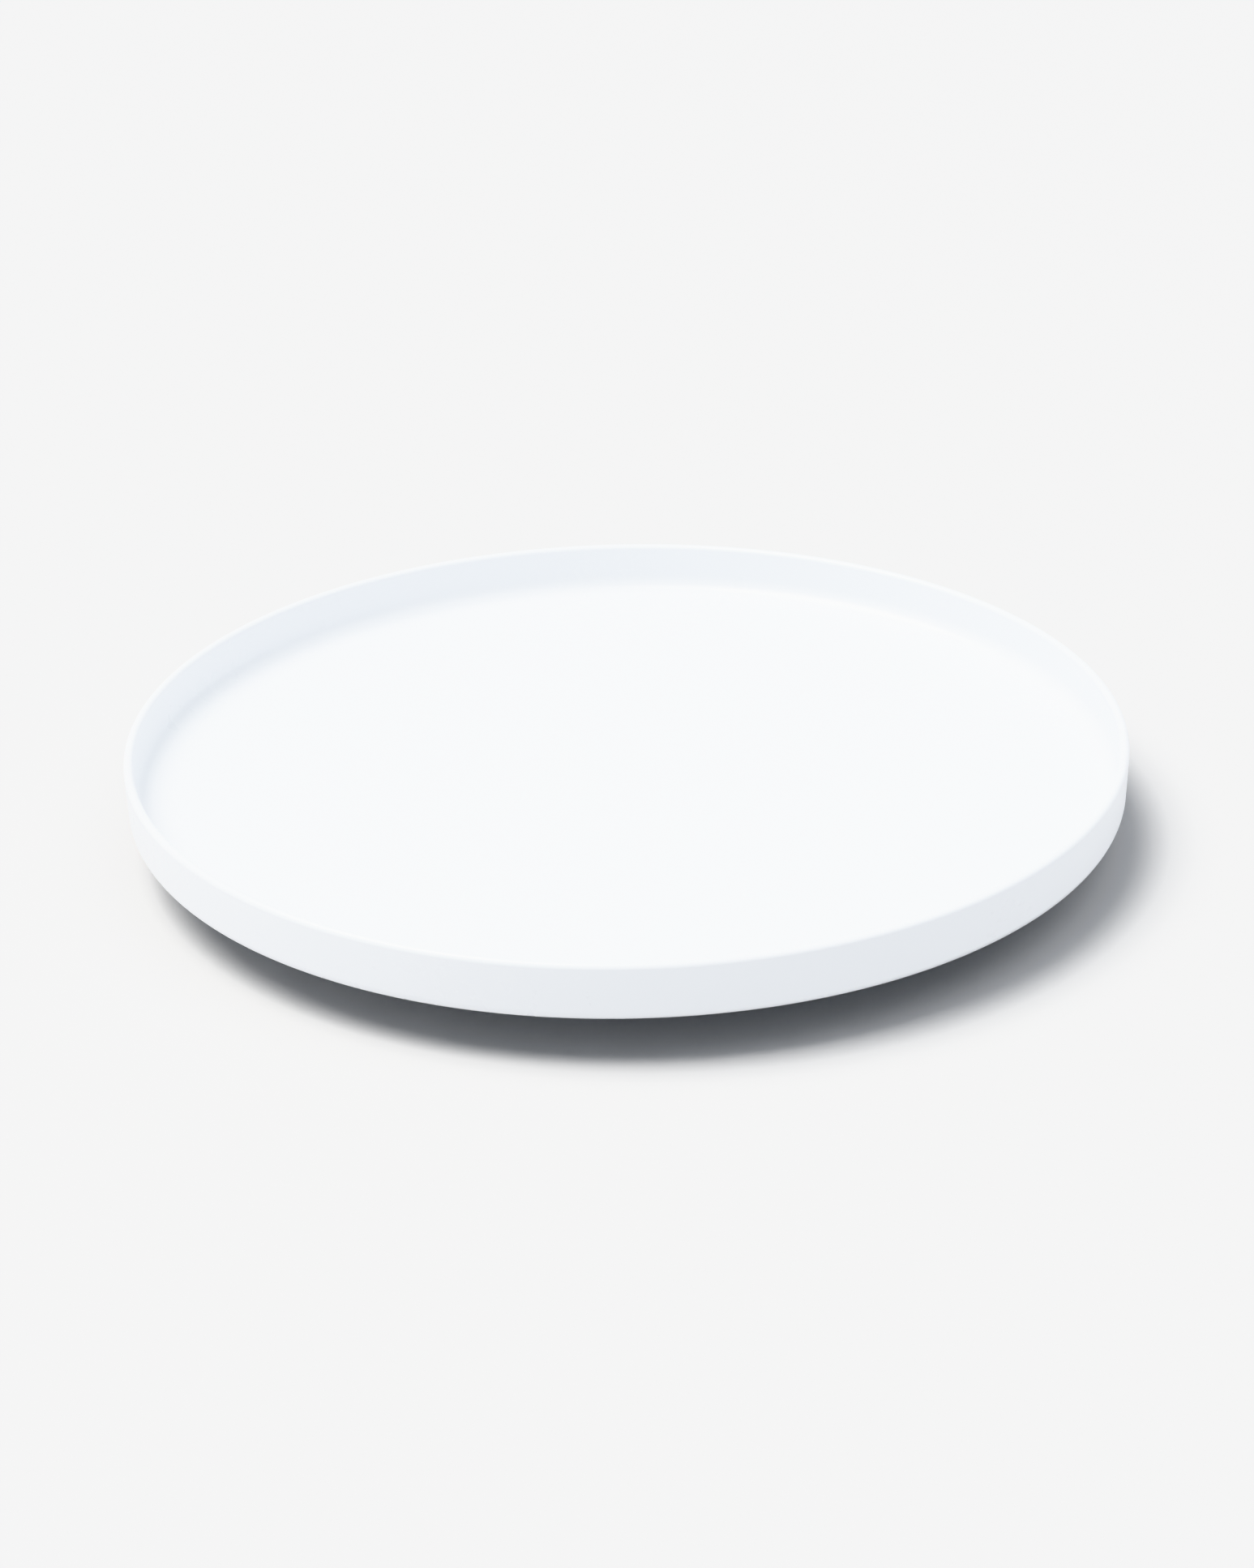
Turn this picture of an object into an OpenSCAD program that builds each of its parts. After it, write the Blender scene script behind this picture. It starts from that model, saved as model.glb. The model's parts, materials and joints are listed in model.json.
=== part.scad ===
// Round turntable: a low-walled tray that turns on a ring of steel balls above a fixed base.
// Millimetres. Z is the turning axis, +Z up, and the feet stand on z = 0.

/* [Tray] */
// Diameter over the rim
tray_d = 300; // [250:5:360]
// Height of the wall, from its heel to the top of the rim
wall_h = 17.8; // [13:0.2:24]
// Thickness of the wall, which is also the width of the rounded rim
wall_t = 2.8; // [1.8:0.1:3.2]
// Outward lean of the wall, in degrees
wall_lean = 2.5; // [0.5:0.5:6]
// Thickness of the floor
floor_t = 2; // [1.6:0.1:4]
// Step from the wall's heel up to the underside of the floor
lip_h = 1.2; // [0.8:0.1:2.4]
// Width of the flat ring that the lip shows from below
lip_w = 3; // [2:0.5:5]
// Radius of the cove between floor and wall
cove_r = 5; // [3:0.5:12]
// Radius of the heel, where the wall turns under
heel_r = 3.5; // [2:0.5:5]

/* [Tray ribs] */
// Number of ribs between the boss and the ball track
inner_ribs = 12; // [6:6:18]
// Number of ribs between the ball track and the lip
outer_ribs = 24; // [12:12:36]
// Thickness of every rib under the tray
tray_rib_t = 1.4; // [1:0.1:2]

/* [Ball track] */
// Diameter of the circle that the ball centres run on
track_d = 160; // [130:2:190]
// Diameter of a steel ball
ball_d = 5; // [4:0.5:6.5]
// Number of balls
ball_count = 18; // [12:1:24]
// Width of a steel race ring
race_w = 8; // [7:0.5:10]
// Thickness of a steel race ring
race_t = 1.6; // [1.4:0.1:2.2]
// Depth of the groove in a race ring
groove_depth = 0.9; // [0.5:0.1:1.1]
// Height of the ribs that centre a race ring
keeper_h = 1.2; // [0.8:0.1:1.4]
// Thickness of the ribs that centre a race ring
keeper_t = 1.5; // [1:0.1:2]

/* [Ball cage] */
// Width of the cage ring
cage_w = 9; // [7:0.5:11]
// Thickness of the cage ring between its pockets
cage_t = 1.4; // [1:0.1:1.8]
// Thickness of the cage at a pocket
pocket_h = 2.4; // [1.8:0.1:2.6]
// Wall of a pocket
pocket_wall = 1.6; // [1:0.1:2.4]

/* [Base] */
// Diameter of the base
base_d = 212; // [180:2:250]
// Height of the base, from its lower edge to its top plate
base_h = 6.2; // [5.4:0.1:9]
// Thickness of the top plate
plate_t = 2; // [1.6:0.1:3]
// Thickness of the skirt and of the ring ribs
skirt_t = 2; // [1.6:0.1:3]
// Radius of the skirt's upper edge
shoulder_r = 1.8; // [1:0.1:2.4]
// Number of ribs under the base
base_ribs = 12; // [6:6:24]
// Thickness of the ribs under the base
base_rib_t = 1.6; // [1.2:0.1:2.4]
// Distance that the ribs stay above the base's lower edge
rib_setback = 1; // [0.5:0.1:2]

/* [Feet] */
// Number of rubber feet
foot_count = 6; // [3:1:8]
// Diameter of a foot
foot_d = 14; // [10:0.5:18]
// Distance that a foot stands below the base
foot_proud = 2; // [1:0.1:3]
// Depth of a foot's pocket in the base
pocket_depth = 2.4; // [1.5:0.1:2.8]
// Wall round a foot's pocket
foot_wall = 1.6; // [1.2:0.1:2.4]
// Radius of a foot's lower edge
foot_edge = 0.8; // [0.3:0.1:0.9]

/* [Centre] */
// Diameter of the boss under the tray
boss_d = 14; // [12:0.5:18]
// Wall of the bush round the boss
bush_t = 2; // [1.5:0.1:3]
// Overhang of the bush's flange
flange_w = 3; // [2:0.5:4]
// Thickness of the bush's flange
flange_t = 1.2; // [0.8:0.1:1.4]
// Thickness of the base's hub
hub_t = 3; // [2.4:0.1:4]
// Wall of the well under the hub
well_wall = 2; // [1.6:0.1:3]
// Thickness of the thrust washer
thrust_t = 0.8; // [0.5:0.1:1]
// Thickness of the retaining washer
washer_t = 1.2; // [0.8:0.1:1.5]
// Distance that both washers reach beyond the boss
washer_reach = 5; // [4:0.5:6]
// Thickness of the cap over the well
cap_t = 1; // [0.8:0.1:1.4]
// Height of the ring inside the cap
cap_ring_h = 1; // [0.6:0.1:1.2]
// Thickness of the ring inside the cap
cap_ring_t = 1.3; // [1:0.1:1.8]

/* [Centre screw] */
// Diameter over the thread
screw_d = 4; // [3:0.5:5]
// Length under the head
screw_l = 8; // [7:0.5:9]
// Diameter of the head
head_d = 8; // [7:0.5:10]
// Height of the head
head_h = 2; // [1.6:0.1:2.4]

/* [Clearances] */
// Radial running clearance between boss and bush
running_gap = 0.05; // [0.03:0.01:0.1]
// Clearance round pieces that are dropped into place
seat_gap = 0.1; // [0.05:0.05:0.2]
// Clearance round a ball in its pocket and its groove
ball_slack = 0.15; // [0.1:0.05:0.25]
// Gap left between a ball and the bottom of its groove
contact_gap = 0.02; // [0.01:0.01:0.05]
// End play between the retaining washer and the thrust washer
end_play = 0.1; // [0.05:0.05:0.3]

/* [Hidden] */
$fn = 96;

over = 1;           // how far a cutting shape runs past what it cuts
washer_edge = 0.15; // chamfer of the washers and races
cap_inset = 0.2;    // how far the cap sits above the base's lower edge
head_room = 0.4;    // space between the cap and the screw's head
cross_w = 1;        // width of the screw's cross recess
cross_l = 4.4;      // length of the screw's cross recess
cross_depth = 1.2;  // depth of the screw's cross recess
blind_gap = 0.4;    // space between the screw's tip and the end of its hole
grip_r = 3.6;       // inner radius of the groove in a foot's sole
grip_w = 0.8;       // width of the groove in a foot's sole
grip_depth = 0.5;   // depth of the groove in a foot's sole

tray_r = tray_d / 2;
base_r = base_d / 2;
track_r = track_d / 2;
ball_r = ball_d / 2;
boss_r = boss_d / 2;

// Heights, from the table up
base_z = foot_proud;
plate_z = base_z + base_h;
lower_race_z = plate_z + race_t;
ball_z = lower_race_z - groove_depth + ball_r;
upper_race_z = ball_z + ball_r - groove_depth;
under_z = upper_race_z + race_t;
heel_z = under_z - lip_h;
floor_z = under_z + floor_t;

// Heights of the centre, stacked from the cap up
cap_z = base_z + cap_inset;
head_z = cap_z + cap_t + head_room;
washer_z = head_z + head_h;
boss_z = washer_z + washer_t;
thrust_z = boss_z + end_play;
hub_z = thrust_z + thrust_t;
hub_top = hub_z + hub_t;
flange_z = hub_top + flange_t;

// Radii of the centre, from the boss out
bush_in = boss_r + running_gap;
bush_out = bush_in + bush_t;
flange_r = bush_out + flange_w;
washer_r = boss_r + washer_reach;
well_r = washer_r + 2 * seat_gap;
cap_r = well_r + cap_ring_t;
well_out = cap_r + seat_gap + well_wall;

// Radii of the race rings and of the ribs that keep them
race_in = track_r - race_w / 2;
race_out = track_r + race_w / 2;
keeper_in = race_in - seat_gap - keeper_t;
keeper_out = race_out + seat_gap + keeper_t;

foot_r = foot_d / 2;
foot_h = foot_proud + pocket_depth;
socket_r = foot_r + seat_gap + foot_wall;
foot_ring_r = base_r - skirt_t / 2 - socket_r;
// The shoulder is limited by the walls that it joins
shoulder = min(shoulder_r, skirt_t, plate_t);

// The inner ribs stop above the bush's flange, whatever the two heights are
inner_rib_z = max(heel_z, flange_z + end_play);

// The wall's centre line runs down from the rim's centre. A point on it is given by its distance
// down the line and its offset outwards.
rim_c = [tray_r - wall_t / 2, wall_h - wall_t / 2];
down = [-sin(wall_lean), -cos(wall_lean)];
outward = [cos(wall_lean), -sin(wall_lean)];
function on_wall(along, off) = rim_c + along * down + off * outward;
function along_at(height, off) = (rim_c[1] - off * sin(wall_lean) - height) / cos(wall_lean);

floor_top = lip_h + floor_t;
// The cove is limited by the depth of the tray
cove = min(cove_r, rim_c[1] - floor_top);
cove_off = -wall_t / 2 - cove;
cove_c = on_wall(along_at(floor_top + cove, cove_off), cove_off);
heel_off = wall_t / 2 - heel_r;
heel_c = on_wall(along_at(heel_r, heel_off), heel_off);
lip_r = heel_c[0] - lip_w;

function spoke_angle(i, count) = i * 360 / count;

// A ring about Z with chamfered edges
module ring(r_in, r_out, z0, z1, edge = 0) {
    rotate_extrude()
        polygon([
            [r_in + edge, z0], [r_out - edge, z0], [r_out, z0 + edge], [r_out, z1 - edge],
            [r_out - edge, z1], [r_in + edge, z1], [r_in, z1 - edge], [r_in, z0 + edge]
        ]);
}

// A disc about Z with chamfered edges
module disc(r, z0, z1, edge = 0) {
    rotate_extrude()
        polygon([[0, z0], [r - edge, z0], [r, z0 + edge], [r, z1 - edge], [r - edge, z1], [0, z1]]);
}

// Straight ribs that run out from the axis between two radii
module spokes(count, r0, r1, t, z0, z1) {
    for (i = [0:count - 1])
        rotate(spoke_angle(i, count))
            translate([r0, -t / 2, z0])
                cube([r1 - r0, t, z1 - z0]);
}

// A steel ring with a groove for the balls, from z0 to z1
module race(z0, z1, groove_z) {
    rotate_extrude()
        difference() {
            translate([race_in, z0])
                square([race_w, z1 - z0]);
            translate([track_r, groove_z])
                circle(ball_r + ball_slack);
        }
}

// The tray's section, with its heel at height 0
module tray_section() {
    outer_top = on_wall(0, wall_t / 2);
    outer_heel = on_wall(along_at(heel_r, heel_off), wall_t / 2);
    corner = on_wall(along_at(0, wall_t / 2), wall_t / 2);
    inner_top = on_wall(0, -wall_t / 2);
    inner_cove = on_wall(along_at(floor_top + cove, cove_off), -wall_t / 2);

    difference() {
        polygon([
            [0, lip_h], [lip_r, lip_h], [lip_r, 0], [heel_c[0], 0], heel_c, outer_heel, outer_top,
            inner_top, inner_cove, cove_c, [cove_c[0], floor_top], [0, floor_top]
        ]);
        translate(cove_c)
            circle(cove);
    }
    translate(rim_c)
        circle(wall_t / 2);
    intersection() {
        translate(heel_c)
            circle(heel_r);
        polygon([heel_c, [heel_c[0], 0], corner, outer_heel]);
    }
}

module tray() {
    color("white")
        difference() {
            union() {
                translate([0, 0, heel_z])
                    rotate_extrude()
                        tray_section();
                translate([0, 0, boss_z])
                    cylinder(r = boss_r, h = under_z - boss_z + floor_t / 2);
                ring(keeper_in, race_in - seat_gap, under_z - keeper_h, under_z + floor_t / 2);
                ring(race_out + seat_gap, keeper_out, under_z - keeper_h, under_z + floor_t / 2);
                spokes(inner_ribs, boss_r / 2, keeper_in + keeper_t / 2, tray_rib_t,
                       inner_rib_z, under_z + floor_t / 2);
                spokes(outer_ribs, keeper_out - keeper_t / 2, lip_r + lip_w / 2, tray_rib_t,
                       heel_z + lip_h / 4, under_z + floor_t / 2);
            }
            // Blind hole for the screw
            translate([0, 0, boss_z - over])
                cylinder(r = screw_d / 2, h = over + screw_l - washer_t + blind_gap);
        }
}

module upper_race() {
    color("silver")
        race(upper_race_z, under_z, ball_z - ball_slack + contact_gap);
}

module lower_race() {
    color("silver")
        race(plate_z, lower_race_z, ball_z + ball_slack - contact_gap);
}

module place_ball(i) {
    rotate(spoke_angle(i - 1, ball_count))
        translate([track_r, 0, ball_z])
            children();
}

module ball(i) {
    color("gainsboro")
        place_ball(i)
            sphere(ball_r);
}

module ball_cage() {
    color("ivory")
        difference() {
            union() {
                ring(track_r - cage_w / 2, track_r + cage_w / 2, ball_z - cage_t / 2, ball_z + cage_t / 2);
                for (i = [1:ball_count])
                    place_ball(i)
                        cylinder(r = ball_r + ball_slack + pocket_wall, h = pocket_h, center = true);
            }
            for (i = [1:ball_count])
                place_ball(i)
                    sphere(ball_r + ball_slack);
        }
}

// The base's section, without its ribs and sockets
module base_section() {
    roof_z = plate_z - plate_t;
    ring_rib_z = base_z + rib_setback;
    shoulder_c = [base_r - shoulder, plate_z - shoulder];

    difference() {
        union() {
            // Skirt and top plate
            translate([base_r - skirt_t, base_z])
                square([skirt_t, base_h - shoulder]);
            translate([cap_r, roof_z])
                square([base_r - shoulder - cap_r, plate_t]);
            intersection() {
                translate(shoulder_c)
                    circle(shoulder);
                translate(shoulder_c)
                    square(shoulder);
            }
            // Ring rib under the ball track
            translate([track_r - skirt_t / 2, ring_rib_z])
                square([skirt_t, roof_z - ring_rib_z + plate_t / 2]);
            // Keepers of the lower race
            translate([keeper_in, plate_z - plate_t / 2])
                square([keeper_t, plate_t / 2 + keeper_h]);
            translate([race_out + seat_gap, plate_z - plate_t / 2])
                square([keeper_t, plate_t / 2 + keeper_h]);
            // Well and hub
            translate([bush_out, base_z])
                square([well_out - bush_out, hub_top - base_z]);
        }
        // Room for the washers, and for the cap with its ring
        translate([0, base_z - over])
            square([well_r, hub_z - base_z + over]);
        translate([0, base_z - over])
            square([cap_r + seat_gap, cap_inset + cap_t + cap_ring_h + over]);
    }
}

module place_foot(i) {
    rotate(spoke_angle(i - 1, foot_count))
        translate([foot_ring_r, 0, 0])
            children();
}

module base_plate() {
    roof_z = plate_z - plate_t;
    color("whitesmoke")
        difference() {
            union() {
                rotate_extrude()
                    base_section();
                spokes(base_ribs, well_out - well_wall / 2, base_r - skirt_t / 2, base_rib_t,
                       base_z + rib_setback, roof_z + plate_t / 2);
                for (i = [1:foot_count])
                    place_foot(i)
                        translate([0, 0, base_z])
                            cylinder(r = socket_r, h = base_h - plate_t / 2);
            }
            for (i = [1:foot_count])
                place_foot(i)
                    translate([0, 0, base_z - over])
                        cylinder(r = foot_r + seat_gap, h = pocket_depth + over);
        }
}

module foot(i) {
    color("dimgray")
        place_foot(i)
            rotate_extrude()
                difference() {
                    union() {
                        square([foot_r - foot_edge, foot_h]);
                        translate([0, foot_edge])
                            square([foot_r, foot_h - foot_edge]);
                        translate([foot_r - foot_edge, foot_edge])
                            circle(foot_edge);
                    }
                    translate([grip_r, -over])
                        square([grip_w, grip_depth + over]);
                }
}

module centre_bush() {
    color("ivory") {
        ring(bush_in, bush_out, hub_z, hub_top);
        ring(bush_in, flange_r, hub_top, flange_z);
    }
}

module thrust_washer() {
    color("ivory")
        ring(boss_r + seat_gap, washer_r, thrust_z, hub_z, washer_edge);
}

module retaining_washer() {
    color("silver")
        ring(screw_d / 2 + seat_gap, washer_r, washer_z, boss_z, washer_edge);
}

module centre_screw() {
    color("gray")
        difference() {
            union() {
                rotate_extrude()
                    union() {
                        translate([0, head_z])
                            square([head_d / 2 - head_h / 2, head_h]);
                        translate([0, head_z + head_h / 2])
                            square([head_d / 2, head_h / 2]);
                        translate([head_d / 2 - head_h / 2, head_z + head_h / 2])
                            circle(head_h / 2);
                    }
                disc(screw_d / 2, washer_z - head_h / 2, washer_z + screw_l);
            }
            for (turn = [0, 90])
                rotate(turn)
                    translate([-cross_l / 2, -cross_w / 2, head_z - over])
                        cube([cross_l, cross_w, cross_depth + over]);
        }
}

module centre_cap() {
    color("whitesmoke") {
        disc(cap_r, cap_z, cap_z + cap_t, washer_edge);
        ring(well_r, cap_r, cap_z + cap_t / 2, cap_z + cap_t + cap_ring_h, washer_edge);
    }
}

tray();
upper_race();
retaining_washer();
centre_screw();
ball_cage();
base_plate();
lower_race();
centre_bush();
thrust_washer();
centre_cap();
for (i = [1:foot_count])
    foot(i);
for (i = [1:ball_count])
    ball(i);
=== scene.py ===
"""Builds a round turntable: a white tray that turns on a ring of steel balls above a ribbed base."""

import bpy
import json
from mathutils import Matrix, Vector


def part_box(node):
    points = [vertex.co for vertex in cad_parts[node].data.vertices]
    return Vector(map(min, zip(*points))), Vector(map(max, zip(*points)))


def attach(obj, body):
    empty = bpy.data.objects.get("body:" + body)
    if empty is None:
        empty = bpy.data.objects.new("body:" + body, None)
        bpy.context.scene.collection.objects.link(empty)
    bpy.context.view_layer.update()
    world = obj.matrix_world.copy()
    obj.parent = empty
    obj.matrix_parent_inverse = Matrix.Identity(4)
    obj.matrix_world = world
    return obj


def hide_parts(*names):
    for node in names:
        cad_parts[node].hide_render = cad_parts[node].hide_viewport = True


bl_info = {
    "name": "Round Turntable",
    "version": (1, 0, 0),
    "blender": (4, 5, 0),
    "location": "View3D > Sidebar > Turntable",
    "description": "Makes the pieces, finishes and stage of a round turntable",
    "category": "Add Mesh",
}

import json
import math
from collections import namedtuple

import bmesh
import bpy
from bpy.props import FloatProperty, FloatVectorProperty, IntProperty, PointerProperty
from mathutils import Matrix, Vector

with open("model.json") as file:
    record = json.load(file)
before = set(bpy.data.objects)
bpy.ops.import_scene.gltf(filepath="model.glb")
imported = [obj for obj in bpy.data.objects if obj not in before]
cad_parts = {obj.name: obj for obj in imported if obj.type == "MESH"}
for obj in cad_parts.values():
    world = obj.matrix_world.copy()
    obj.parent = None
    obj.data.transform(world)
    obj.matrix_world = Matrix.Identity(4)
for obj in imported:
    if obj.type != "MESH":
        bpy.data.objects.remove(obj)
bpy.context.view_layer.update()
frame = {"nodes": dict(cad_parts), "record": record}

MM = 0.001
SMOOTH_LIMIT = math.radians(32)
ARC_SAG = 0.004 * MM
SAME_POINT = 1e-6
CUT_PAST = 1 * MM
RIB_EDGE = 0.25 * MM
WASHER_EDGE = 0.15 * MM
CAGE_EDGE = 0.3 * MM
BURNISHED = 0.6 * MM
DULL = 2.0 * MM
FLOOR_RADIUS = 12
VIEW_DEPTH = 50
SKY_TINT = (0.89, 0.94, 1.0)
HAZE_TOP = 0.15
Lamp = namedtuple("Lamp", "tint softness towards")
KEY_LAMP = Lamp((1.0, 0.975, 0.93), math.radians(42), (-0.40, 0.05, 0.91))
FILL_LAMP = Lamp((1.0, 1.0, 1.0), math.radians(45), (0.48, -0.08, 0.87))


# ---------------------------------------------------------------- the frame's own sizes

Reach = namedtuple("Reach", "inner outer bottom top")


def reach(node, beyond=0.0):
    """Radii and heights of a CAD node about the turning axis, past a radius if one is given."""
    points = [v.co for v in frame["nodes"][node].data.vertices]
    points = [(math.hypot(p.x, p.y), p.z) for p in points]
    points = [p for p in points if p[0] >= beyond]
    radii, heights = zip(*points)
    return Reach(min(radii), max(radii), min(heights), max(heights))


def numbered(prefix):
    """The CAD nodes called prefix_1, prefix_2 and so on, in order."""
    tails = [name.removeprefix(prefix + "_") for name in frame["nodes"]]
    return [f"{prefix}_{i + 1}" for i in range(sum(tail.isdigit() for tail in tails))]


def mount_height(name):
    mounts = {mount["name"]: mount for mount in frame["record"]["mounts"]}
    return mounts[name]["pos_m"][2]


TRAY = reach("tray")
UPPER_RACE = reach("upper_race")
LOWER_RACE = reach("lower_race")
CAGE = reach("ball_cage")
BASE = reach("base_plate")
BUSH = reach("centre_bush")
THRUST = reach("thrust_washer")
WASHER = reach("retaining_washer")
SCREW = reach("centre_screw")
CAP = reach("centre_cap")
FOOT = reach("foot_1")
BALL_LOW, BALL_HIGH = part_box("ball_1")
BALLS = numbered("ball")
FEET = numbered("foot")

FLOOR_Z = mount_height("tray_floor")
HEEL_Z = reach("tray", beyond=0.9 * TRAY.outer).bottom
BALL_R = (BALL_HIGH.z - BALL_LOW.z) / 2
BALL_Z = (BALL_HIGH.z + BALL_LOW.z) / 2
TRACK_R = (UPPER_RACE.inner + UPPER_RACE.outer) / 2
FOOT_R = (FOOT.outer - FOOT.inner) / 2
FOOT_RING = (FOOT.outer + FOOT.inner) / 2


# ---------------------------------------------------------------- sizes and colours to change


def length(label, what, value, low=0.0):
    return FloatProperty(name=label, description=what, default=value, min=low,
                         subtype="DISTANCE", unit="LENGTH", precision=5)


def turn(label, what, degrees):
    return FloatProperty(name=label, description=what, default=math.radians(degrees),
                         subtype="ANGLE", unit="ROTATION")


def count(label, what, value, low=3):
    return IntProperty(name=label, description=what, default=value, min=low)


def colour(label, what, value):
    return FloatVectorProperty(name=label, description=what, default=value, size=3,
                               min=0.0, max=1.0, subtype="COLOR")


def number(label, what, value):
    return FloatProperty(name=label, description=what, default=value, min=0.0)


class TraySizes(bpy.types.PropertyGroup):
    """Sizes of the tray."""

    wall: length("Wall", "Thickness of the wall and width of the rounded rim", 2.8 * MM)
    lean: turn("Lean", "Outward lean of the wall", 2.5)
    cove: length("Cove", "Radius between the floor and the wall", 5 * MM)
    heel: length("Heel", "Radius where the wall turns under", 3.5 * MM)
    lip: length("Lip", "Width of the flat ring under the wall", 3 * MM)
    boss: length("Boss", "Diameter of the boss under the floor", 14 * MM)
    screw_room: length("Screw room", "Depth of the screw's hole past its tip", 0.4 * MM)
    keeper_height: length("Keeper height", "Height of the ribs beside a race ring", 1.2 * MM)
    keeper: length("Keeper", "Thickness of the ribs beside a race ring", 1.5 * MM)
    rib: length("Rib", "Thickness of a rib under the floor", 1.4 * MM)
    inner_ribs: count("Inner ribs", "Ribs between the boss and the ball track", 12)
    outer_ribs: count("Outer ribs", "Ribs between the ball track and the lip", 24)
    mark: length("Mark", "Diameter of the mark that an ejector pin leaves", 6 * MM)
    mark_depth: length("Mark depth", "Depth of such a mark", 0.12 * MM)
    segments: count("Segments", "Steps round the tray", 360, 24)


class TrackSizes(bpy.types.PropertyGroup):
    """Sizes of the races, balls and cage."""

    slack: length("Slack", "Space round a ball in its groove and its pocket", 0.15 * MM)
    contact: length("Contact", "Gap between a ball and the bottom of its groove", 0.02 * MM)
    seat: length("Seat", "Clearance beside a race ring", 0.1 * MM)
    cage: length("Cage", "Thickness of the cage between its pockets", 1.4 * MM)
    pocket: length("Pocket", "Wall of a ball's pocket", 1.6 * MM)
    segments: count("Segments", "Steps round a race", 288, 24)
    ball_steps: count("Ball steps", "How finely a ball is divided", 5, 2)


class BaseSizes(bpy.types.PropertyGroup):
    """Sizes of the base and its feet."""

    plate: length("Plate", "Thickness of the top plate", 2 * MM)
    skirt: length("Skirt", "Thickness of the skirt and the ring rib", 2 * MM)
    shoulder: length("Shoulder", "Radius of the skirt's upper edge", 1.8 * MM)
    rib: length("Rib", "Thickness of a rib under the plate", 1.6 * MM)
    setback: length("Setback", "Height of the ribs above the lower edge", 1 * MM)
    well: length("Well", "Wall of the well under the hub", 2 * MM)
    socket: length("Socket", "Wall round a foot's pocket", 1.6 * MM)
    ribs: count("Ribs", "Ribs under the plate", 12)
    grip: length("Grip", "Inner radius of the groove in a foot's sole", 3.6 * MM)
    segments: count("Segments", "Steps round the base", 288, 24)


class CentreSizes(bpy.types.PropertyGroup):
    """Sizes of the hub, screw and cap."""

    screw: length("Screw", "Diameter over the thread", 4 * MM)
    pitch: length("Pitch", "Distance between two turns of the thread", 0.9 * MM)
    thread: number("Thread", "Depth of the thread over the screw's radius", 0.22)
    head: length("Head", "Height of the screw's head", 2 * MM)
    cross: length("Cross", "Width of the cross recess", 1 * MM)
    cross_reach: length("Cross reach", "Length of the cross recess", 4.4 * MM)
    cross_depth: length("Cross depth", "Depth of the cross recess", 1.2 * MM)
    cap: length("Cap", "Thickness of the cap", 1 * MM)
    cap_ring: length("Cap ring", "Thickness of the ring inside the cap", 1.3 * MM)
    flange: length("Flange", "Thickness of the bush's flange", 1.2 * MM)
    bush: length("Bush", "Wall of the bush", 2 * MM)
    segments: count("Segments", "Steps round a small piece", 96, 24)


class Finishes(bpy.types.PropertyGroup):
    """Colours of the pieces."""

    tray: colour("Tray", "Glossy white plastic of the tray", (0.855, 0.872, 0.895))
    base: colour("Base", "Dull white plastic of the base and cap", (0.80, 0.81, 0.82))
    nylon: colour("Nylon", "Natural nylon of the cage, bush and washer", (0.79, 0.75, 0.64))
    race: colour("Race", "Rolled steel of the race rings", (0.56, 0.57, 0.58))
    zinc: colour("Zinc", "Zinc plate of the screw and washer", (0.62, 0.64, 0.67))
    ball: colour("Ball", "Polished steel of the balls", (0.72, 0.73, 0.74))
    rubber: colour("Rubber", "Rubber of the feet", (0.055, 0.056, 0.060))


class StageSettings(bpy.types.PropertyGroup):
    """Camera, lights and floor."""

    elevation: turn("Elevation", "Height of the camera above the horizon", 25.4)
    roll: turn("Roll", "Turn of the camera about its own line of sight", 1.15)
    distance: length("Distance", "From the camera to the turning axis", 1.2)
    lens: FloatProperty(name="Lens", description="Focal length in millimetres", default=91.3, min=10)
    floor: colour("Floor", "Colour of the floor", (0.484, 0.486, 0.494))
    sky: number("Sky", "Strength of the light from all round", 0.66)
    haze: number("Haze", "Strength of the pale band along the horizon", 1.3)
    key: number("Key", "Strength of the light from the left", 5.9)
    fill: number("Fill", "Strength of the light from the right", 0.8)


class TurntableSettings(bpy.types.PropertyGroup):
    """Everything that can be changed before the pieces are made."""

    tray: PointerProperty(type=TraySizes)
    track: PointerProperty(type=TrackSizes)
    base: PointerProperty(type=BaseSizes)
    centre: PointerProperty(type=CentreSizes)
    finishes: PointerProperty(type=Finishes)
    stage: PointerProperty(type=StageSettings)


# ---------------------------------------------------------------- outlines


def arc_steps(radius, sweep):
    """How many straight steps follow an arc closely enough."""
    return max(3, math.ceil(abs(sweep) / (2 * math.acos(1 - ARC_SAG / radius))))


def arc(centre, radius, start, end):
    """Sharp corners along an arc, as (radius, height, fillet)."""
    steps = arc_steps(radius, end - start)
    angles = [start + (end - start) * i / steps for i in range(steps + 1)]
    return [(centre[0] + radius * math.cos(a), centre[1] + radius * math.sin(a), 0) for a in angles]


def rounded(corners, closed=True):
    """Points of an outline whose corners are (radius, height, fillet)."""
    outline = []
    last = len(corners) - 1
    for i, (x, y, fillet) in enumerate(corners):
        corner = Vector((x, y))
        if fillet == 0 or (not closed and i in (0, last)):
            outline.append(corner)
            continue
        before = (Vector(corners[i - 1][:2]) - corner).normalized()
        after = (Vector(corners[(i + 1) % len(corners)][:2]) - corner).normalized()
        half = before.angle(after) / 2
        centre = corner + (before + after).normalized() * fillet / math.sin(half)
        first = corner + before * fillet / math.tan(half) - centre
        second = corner + after * fillet / math.tan(half) - centre
        sweep = -first.angle_signed(second)
        steps = arc_steps(fillet, sweep)
        outline += [centre + Matrix.Rotation(sweep * j / steps, 2) @ first for j in range(steps + 1)]
    points = [p for i, p in enumerate(outline) if (p - outline[i - 1]).length > SAME_POINT]
    return [tuple(p) for p in points]


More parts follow.
